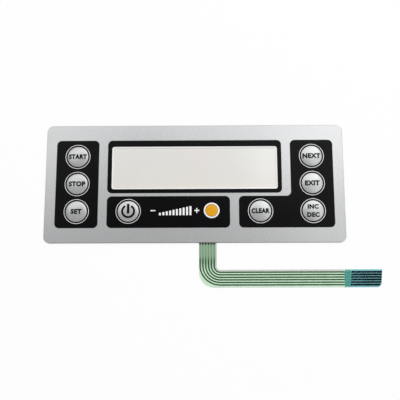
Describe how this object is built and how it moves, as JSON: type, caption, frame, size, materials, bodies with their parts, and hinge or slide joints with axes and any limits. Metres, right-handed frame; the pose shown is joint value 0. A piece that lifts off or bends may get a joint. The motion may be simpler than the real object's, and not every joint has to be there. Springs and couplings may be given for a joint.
{
  "type": "membrane keypad",
  "caption": "Thin rectangular membrane keypad with embossed round keys over snap domes, a display window and a flat circuit tail bent to one side.",
  "frame": {"origin": "middle of the panel's back, on the release liner's back face", "axes": "+Z out of the front face, +X along the panel's length, and the circuit tail leaves towards -Y and runs towards +X"},
  "size_m": [0.1337, 0.0661, 0.0014],
  "materials": {
    "silver_overlay": "satin silver print on a fine-textured polyester film",
    "black_print": "opaque black screen ink, satin",
    "clear_window": "clear polyester, slightly hazed",
    "liner_paper": "off-white siliconised release paper",
    "adhesive": "pressure-sensitive transfer adhesive",
    "spacer_film": "milky polyester spacer with adhesive on both sides",
    "circuit_film": "clear polyester with a pale green insulating coat",
    "coated_silver_ink": "silver ink seen through the green coat",
    "stiffener": "blue-green polyester stiffener",
    "carbon_ink": "matt carbon ink over the silver",
    "dome_steel": "bright spring steel",
    "actuator_plastic": "natural plastic disc"
  },
  "bodies": {
    "keypad": {"release_liner": "liner_paper", "rear_adhesive": "adhesive", "circuit_film": "circuit_film", "tail_stiffener": "stiffener", "dome_spacer": "spacer_film", "overlay_adhesive": "adhesive", "display_window": "clear_window", "overlay_film": "silver_overlay", "left_key_print": "black_print", "display_border_print": "black_print", "centre_print": "black_print", "right_key_print": "black_print", "conductor_1": "coated_silver_ink", "conductor_2": "coated_silver_ink", "conductor_3": "coated_silver_ink", "conductor_4": "coated_silver_ink", "conductor_5": "coated_silver_ink", "conductor_6": "coated_silver_ink", "tail_contact_1": "carbon_ink", "tail_contact_2": "carbon_ink", "tail_contact_3": "carbon_ink", "tail_contact_4": "carbon_ink", "tail_contact_5": "carbon_ink", "tail_contact_6": "carbon_ink", "left_top_key_ring": "black_print", "left_top_dome": "dome_steel", "left_middle_key_ring": "black_print", "left_middle_dome": "dome_steel", "left_bottom_key_ring": "black_print", "left_bottom_dome": "dome_steel", "power_key_ring": "black_print", "power_dome": "dome_steel", "enter_key_ring": "black_print", "enter_dome": "dome_steel", "right_bottom_key_ring": "black_print", "right_bottom_dome": "dome_steel", "right_middle_key_ring": "black_print", "right_middle_dome": "dome_steel", "right_top_key_ring": "black_print", "right_top_dome": "dome_steel"},
    "left_top_key": {"left_top_actuator": "actuator_plastic"},
    "left_middle_key": {"left_middle_actuator": "actuator_plastic"},
    "left_bottom_key": {"left_bottom_actuator": "actuator_plastic"},
    "power_key": {"power_actuator": "actuator_plastic"},
    "enter_key": {"enter_actuator": "actuator_plastic"},
    "right_bottom_key": {"right_bottom_actuator": "actuator_plastic"},
    "right_middle_key": {"right_middle_actuator": "actuator_plastic"},
    "right_top_key": {"right_top_actuator": "actuator_plastic"}
  },
  "joints": [
    {"name": "left_top_press", "type": "slide", "parent": "keypad", "child": "left_top_key", "axis": [0, 0, -1], "range_m": [0, 0.00025], "stiffness_N_per_m": 8000, "deforming": ["left_top_dome"]},
    {"name": "left_middle_press", "type": "slide", "parent": "keypad", "child": "left_middle_key", "axis": [0, 0, -1], "range_m": [0, 0.00025], "stiffness_N_per_m": 8000, "deforming": ["left_middle_dome"]},
    {"name": "left_bottom_press", "type": "slide", "parent": "keypad", "child": "left_bottom_key", "axis": [0, 0, -1], "range_m": [0, 0.00025], "stiffness_N_per_m": 8000, "deforming": ["left_bottom_dome"]},
    {"name": "power_press", "type": "slide", "parent": "keypad", "child": "power_key", "axis": [0, 0, -1], "range_m": [0, 0.00025], "stiffness_N_per_m": 8000, "deforming": ["power_dome"]},
    {"name": "enter_press", "type": "slide", "parent": "keypad", "child": "enter_key", "axis": [0, 0, -1], "range_m": [0, 0.00025], "stiffness_N_per_m": 8000, "deforming": ["enter_dome"]},
    {"name": "right_bottom_press", "type": "slide", "parent": "keypad", "child": "right_bottom_key", "axis": [0, 0, -1], "range_m": [0, 0.00025], "stiffness_N_per_m": 8000, "deforming": ["right_bottom_dome"]},
    {"name": "right_middle_press", "type": "slide", "parent": "keypad", "child": "right_middle_key", "axis": [0, 0, -1], "range_m": [0, 0.00025], "stiffness_N_per_m": 8000, "deforming": ["right_middle_dome"]},
    {"name": "right_top_press", "type": "slide", "parent": "keypad", "child": "right_top_key", "axis": [0, 0, -1], "range_m": [0, 0.00025], "stiffness_N_per_m": 8000, "deforming": ["right_top_dome"]}
  ]
}
